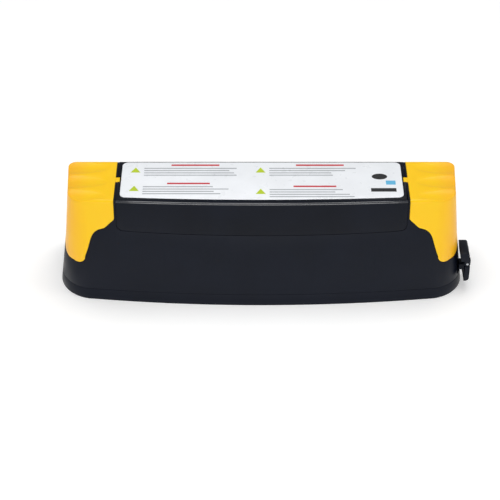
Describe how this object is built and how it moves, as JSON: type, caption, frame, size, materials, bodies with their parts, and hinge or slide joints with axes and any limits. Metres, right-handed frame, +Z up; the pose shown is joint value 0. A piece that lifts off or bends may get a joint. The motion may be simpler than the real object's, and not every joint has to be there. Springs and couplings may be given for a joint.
{
  "type": "folding parking lock",
  "caption": "Low motorised parking lock: a flap of a centre cover and end caps stands up from a floor-mounted housing about a rear shaft, with gears, battery and charging port.",
  "frame": {"origin": "on the ground, under the middle of the base plate", "axes": "+X along the length to the end with the charging port, the bowed front faces -Y, +Z up"},
  "size_m": [0.433, 0.109, 0.118],
  "materials": {
    "black_plastic": "satin moulded",
    "yellow_plastic": "satin moulded",
    "label_film": "printed film",
    "zinc_plated_steel": "zinc plated",
    "black_oxide_steel": "black oxide",
    "gear_steel": "machined",
    "sintered_bronze": "sintered",
    "cast_aluminium": "die cast",
    "black_rubber": "matt",
    "circuit_board": "solder mask",
    "battery_film": "shrink film",
    "grey_plastic": "moulded",
    "lead_insulation": "extruded"
  },
  "bodies": {
    "base": {"base_plate": "black_plastic", "anchor_sleeve_1": "zinc_plated_steel", "anchor_sleeve_2": "zinc_plated_steel", "anchor_sleeve_3": "zinc_plated_steel", "anchor_sleeve_4": "zinc_plated_steel", "lower_shell": "black_plastic", "shell_screw_1": "zinc_plated_steel", "shell_screw_2": "zinc_plated_steel", "shell_screw_3": "zinc_plated_steel", "shell_screw_4": "zinc_plated_steel", "side_frame_left": "black_plastic", "side_frame_right": "black_plastic", "hinge_bush_1": "sintered_bronze", "hinge_bush_2": "sintered_bronze", "gear_plate_inner": "zinc_plated_steel", "gear_plate_outer": "zinc_plated_steel", "bracket_screw_1": "zinc_plated_steel", "bracket_screw_2": "zinc_plated_steel", "bracket_screw_3": "zinc_plated_steel", "bracket_screw_4": "zinc_plated_steel", "rubber_bumper_1": "black_rubber", "rubber_bumper_2": "black_rubber", "motor_cradle": "grey_plastic", "gearhead": "cast_aluminium", "motor": "black_oxide_steel", "idler_axle": "zinc_plated_steel", "axle_circlip": "zinc_plated_steel", "battery_tray": "grey_plastic", "battery_pack": "battery_film", "battery_strap": "zinc_plated_steel", "control_board": "circuit_board", "board_rail_1": "grey_plastic", "board_rail_2": "grey_plastic", "radio_module": "grey_plastic", "buzzer": "black_oxide_steel", "limit_switch_1": "black_oxide_steel", "limit_switch_2": "black_oxide_steel", "hex_key": "black_oxide_steel", "key_clip_1": "grey_plastic", "key_clip_2": "grey_plastic", "port_hinge_block": "black_plastic", "port_pin": "zinc_plated_steel", "charge_socket": "black_oxide_steel", "battery_leads": "lead_insulation", "motor_leads": "lead_insulation", "socket_leads": "lead_insulation"},
    "barrier_flap": {"hinge_shaft": "zinc_plated_steel", "centre_cover": "black_plastic", "cap_right": "yellow_plastic", "cap_left": "yellow_plastic", "label_plate": "label_film", "sector_gear": "gear_steel", "cover_stiffener_1": "zinc_plated_steel", "cover_stiffener_2": "zinc_plated_steel"},
    "idler": {"idler_gear": "gear_steel"},
    "pinion": {"drive_pinion": "gear_steel", "output_shaft": "zinc_plated_steel"},
    "port_cover": {"charge_port_cover": "black_plastic"}
  },
  "joints": [
    {"name": "flap_hinge", "type": "hinge", "parent": "base", "child": "barrier_flap", "pos_m": [0, 0.036, 0.109], "axis": [-1, 0, 0], "range_deg": [0, 90]},
    {"name": "idler_spin", "type": "hinge", "parent": "base", "child": "idler", "pos_m": [0.0445, 0.00218, 0.10218], "axis": [-1, 0, 0], "range_deg": [-205.8, 0]},
    {"name": "pinion_spin", "type": "hinge", "parent": "base", "child": "pinion", "pos_m": [0.0445, -0.00606, 0.08451], "axis": [-1, 0, 0], "range_deg": [0, 240.1]},
    {"name": "port_cover_hinge", "type": "hinge", "parent": "base", "child": "port_cover", "pos_m": [0.2165, -0.014, 0.032], "axis": [0, -1, 0], "range_deg": [0, 100]}
  ],
  "couplings": [
    {"joint": "idler_spin", "follows": "flap_hinge", "ratio": -2.2857},
    {"joint": "pinion_spin", "follows": "flap_hinge", "ratio": 2.6667}
  ]
}
